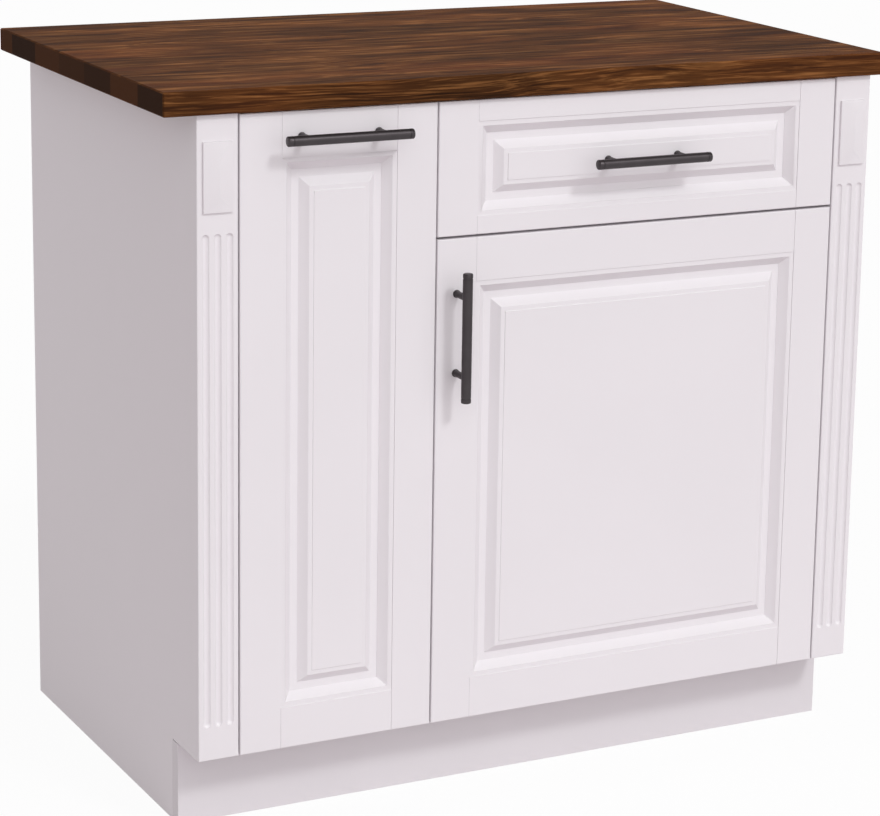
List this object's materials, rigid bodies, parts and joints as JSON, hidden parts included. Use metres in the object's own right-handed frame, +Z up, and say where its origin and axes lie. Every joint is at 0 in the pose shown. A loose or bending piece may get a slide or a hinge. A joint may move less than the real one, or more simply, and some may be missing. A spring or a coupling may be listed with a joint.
{
  "type": "kitchen island unit",
  "caption": "Painted kitchen island with a stained wood worktop, a narrow pull-out with trays, a drawer, a hinged door, fluted pilasters and a recessed toe kick.",
  "frame": {"origin": "middle of the unit's outer box at floor level", "axes": "+X to the right seen from the front, +Y towards the back, +Z up"},
  "size_m": [0.956, 0.603, 0.892],
  "materials": {
    "stained_butcher_block": "walnut-stained oak staves, satin oil",
    "white_paint": "smooth satin white paint on board",
    "white_melamine": "fine-grained white melamine",
    "birch_drawer_box": "clear-lacquered birch",
    "grey_tray_plastic": "fine-textured moulded plastic",
    "dark_bronze": "brushed dark bronze",
    "zinc_steel": "zinc-plated",
    "slide_steel": "rolled zinc-plated sheet",
    "nickel_hinge": "nickel-plated pressed steel",
    "black_leg_plastic": "moulded black plastic"
  },
  "bodies": {
    "cabinet": {"worktop": "stained_butcher_block", "left_end_panel": "white_paint", "right_end_panel": "white_paint", "rear_cover_panel": "white_paint", "toe_kick_board": "white_paint", "left_pilaster": "white_paint", "right_pilaster": "white_paint", "pilaster_blocks": "white_paint", "left_gable": "white_melamine", "right_gable": "white_melamine", "divider": "white_melamine", "bottom_panel": "white_melamine", "back_panel": "white_melamine", "front_stretcher": "white_melamine", "back_stretcher": "white_melamine", "cross_rail": "white_melamine", "shelf": "white_melamine", "spacer_battens": "white_melamine", "worktop_screws": "zinc_steel", "shelf_pins": "zinc_steel", "levelling_legs": "black_leg_plastic", "drawer_slide_cabinet_channels": "slide_steel", "pull_out_slide_cabinet_channels": "slide_steel", "hinge_plates": "nickel_hinge", "hinge_arms": "nickel_hinge"},
    "drawer": {"drawer_front_left_stile": "white_paint", "drawer_front_right_stile": "white_paint", "drawer_front_bottom_rail": "white_paint", "drawer_front_top_rail": "white_paint", "drawer_front_panel": "white_paint", "drawer_left_side": "birch_drawer_box", "drawer_right_side": "birch_drawer_box", "drawer_box_front": "birch_drawer_box", "drawer_box_back": "birch_drawer_box", "drawer_bottom": "birch_drawer_box", "drawer_handle": "dark_bronze", "drawer_handle_screws": "zinc_steel", "drawer_slide_moving_channels": "slide_steel"},
    "drawer_slide_middles": {"drawer_slide_middle_channels": "slide_steel"},
    "pull_out": {"pull_out_left_stile": "white_paint", "pull_out_right_stile": "white_paint", "pull_out_bottom_rail": "white_paint", "pull_out_top_rail": "white_paint", "pull_out_panel": "white_paint", "lower_tray": "grey_tray_plastic", "middle_tray": "grey_tray_plastic", "upper_tray": "grey_tray_plastic", "tray_carrier_board": "white_melamine", "pull_out_handle": "dark_bronze", "pull_out_handle_screws": "zinc_steel", "pull_out_slide_moving_channels": "slide_steel"},
    "pull_out_slide_middles": {"pull_out_slide_middle_channels": "slide_steel"},
    "door": {"door_left_stile": "white_paint", "door_right_stile": "white_paint", "door_bottom_rail": "white_paint", "door_top_rail": "white_paint", "door_panel": "white_paint", "door_handle": "dark_bronze", "door_handle_screws": "zinc_steel", "hinge_cups": "nickel_hinge"}
  },
  "joints": [
    {"name": "drawer_slide", "type": "slide", "parent": "cabinet", "child": "drawer", "axis": [0, -1, 0], "range_m": [0, 0.475]},
    {"name": "drawer_slide_middle", "type": "slide", "parent": "cabinet", "child": "drawer_slide_middles", "axis": [0, -1, 0], "range_m": [0, 0.2375]},
    {"name": "pull_out_slide", "type": "slide", "parent": "cabinet", "child": "pull_out", "axis": [0, -1, 0], "range_m": [0, 0.475]},
    {"name": "pull_out_slide_middle", "type": "slide", "parent": "cabinet", "child": "pull_out_slide_middles", "axis": [0, -1, 0], "range_m": [0, 0.2375]},
    {"name": "door_hinge", "type": "hinge", "parent": "cabinet", "child": "door", "pos_m": [0.404, -0.2615, 0.4005], "axis": [0, 0, 1], "range_deg": [0, 105]}
  ],
  "couplings": [
    {"joint": "drawer_slide_middle", "follows": "drawer_slide", "ratio": 0.5},
    {"joint": "pull_out_slide_middle", "follows": "pull_out_slide", "ratio": 0.5}
  ]
}
